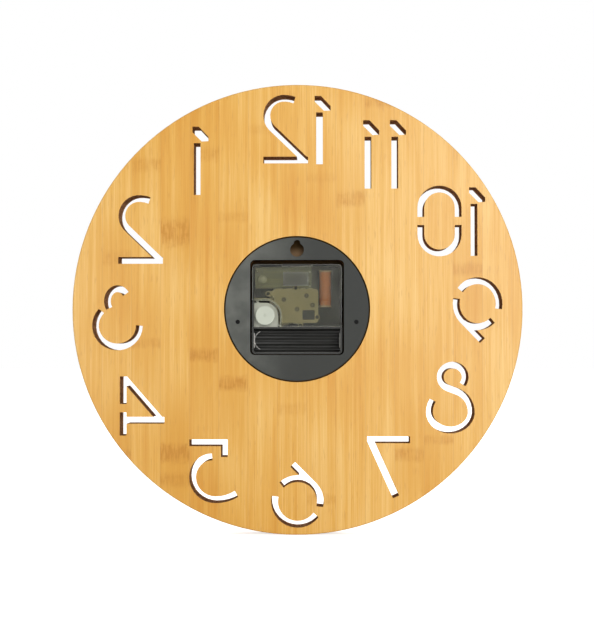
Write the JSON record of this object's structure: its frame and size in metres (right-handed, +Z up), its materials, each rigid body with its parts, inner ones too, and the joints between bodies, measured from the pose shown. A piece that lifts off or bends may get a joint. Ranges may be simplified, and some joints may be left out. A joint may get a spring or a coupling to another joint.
{
  "type": "wall clock",
  "caption": "Round bamboo wall clock with stencil-cut numerals and a battery movement let into its back behind a round plate with a hanging keyhole.",
  "frame": {"origin": "the hands' axis where it meets the plane of the board's back face, which lies on the wall", "axes": "+Y out of the back towards the wall, +Z up, +X to the right as seen from the dial side"},
  "size_m": [0.28, 0.0285, 0.28],
  "materials": {
    "bamboo": "satin, strips of bamboo with the grain upright",
    "plate_plastic": "matt moulded",
    "black_steel": "blackened",
    "case_plastic": "matt moulded",
    "clear_plastic": "smoky, clear moulded",
    "cream_plastic": "moulded",
    "brass": "turned",
    "rubber": "matt",
    "steel": "bright plated",
    "iron": "plain sheet",
    "bobbin_plastic": "moulded",
    "copper": "enamelled wire",
    "board_green": "coated laminate",
    "epoxy": "cast drop",
    "magnet": "sintered",
    "gear_plastic": "moulded",
    "white_plastic": "moulded",
    "hand_black": "satin black"
  },
  "bodies": {
    "root": {"dial_board": "bamboo", "back_plate": "plate_plastic", "plate_screws": "black_steel", "movement_case": "case_plastic", "clear_cover": "clear_plastic", "gear_bridge": "cream_plastic", "threaded_bush": "brass", "rubber_washer": "rubber", "dial_washer": "steel", "hex_nut": "brass", "stator": "iron", "coil_core": "iron", "coil_bobbin": "bobbin_plastic", "coil_winding": "copper", "circuit_board": "board_green", "driver_chip": "epoxy", "quartz_crystal": "steel", "positive_contact": "steel", "negative_contact": "steel"},
    "rotor": {"rotor_pinion": "gear_plastic", "rotor_magnet": "magnet"},
    "intermediate": {"intermediate_wheel": "gear_plastic"},
    "seconds": {"second_wheel": "gear_plastic", "second_hand": "hand_black"},
    "third": {"third_wheel": "gear_plastic"},
    "centre_drive": {"minute_wheel": "gear_plastic"},
    "minutes": {"cannon_pinion": "gear_plastic", "minute_hand": "hand_black"},
    "motion": {"motion_wheel": "gear_plastic"},
    "hours": {"hour_wheel": "gear_plastic", "hour_hand": "hand_black"},
    "knob": {"setting_knob": "white_plastic"}
  },
  "joints": [
    {"name": "second_hand_turn", "type": "hinge", "parent": "root", "child": "seconds", "pos_m": [0, 0, 0], "axis": [0, 1, 0], "continuous": true},
    {"name": "minute_hand_turn", "type": "hinge", "parent": "root", "child": "minutes", "pos_m": [0, 0, 0], "axis": [0, 1, 0], "continuous": true},
    {"name": "hour_hand_turn", "type": "hinge", "parent": "root", "child": "hours", "pos_m": [0, 0, 0], "axis": [0, 1, 0], "continuous": true},
    {"name": "minute_wheel_turn", "type": "hinge", "parent": "root", "child": "centre_drive", "pos_m": [0, 0, 0], "axis": [0, 1, 0], "continuous": true},
    {"name": "third_wheel_turn", "type": "hinge", "parent": "root", "child": "third", "pos_m": [0.00825, 0, 0.006], "axis": [0, 1, 0], "continuous": true},
    {"name": "intermediate_wheel_turn", "type": "hinge", "parent": "root", "child": "intermediate", "pos_m": [-0.00585, 0, 0.00836], "axis": [0, 1, 0], "continuous": true},
    {"name": "rotor_turn", "type": "hinge", "parent": "root", "child": "rotor", "pos_m": [-0.00966, 0, 0.00248], "axis": [0, 1, 0], "continuous": true},
    {"name": "motion_wheel_turn", "type": "hinge", "parent": "root", "child": "motion", "pos_m": [0.00902, 0, -0.00328], "axis": [0, 1, 0], "continuous": true},
    {"name": "setting_knob_turn", "type": "hinge", "parent": "root", "child": "knob", "pos_m": [0.0198, 0, -0.00396], "axis": [0, 1, 0], "continuous": true}
  ],
  "couplings": [
    {"joint": "third_wheel_turn", "follows": "second_hand_turn", "ratio": -0.13333},
    {"joint": "minute_wheel_turn", "follows": "second_hand_turn", "ratio": 0.016667},
    {"joint": "intermediate_wheel_turn", "follows": "second_hand_turn", "ratio": -5},
    {"joint": "rotor_turn", "follows": "second_hand_turn", "ratio": 30},
    {"joint": "hour_hand_turn", "follows": "minute_hand_turn", "ratio": 0.083333},
    {"joint": "motion_wheel_turn", "follows": "minute_hand_turn", "ratio": -0.33333},
    {"joint": "setting_knob_turn", "follows": "minute_hand_turn", "ratio": 0.66667}
  ]
}
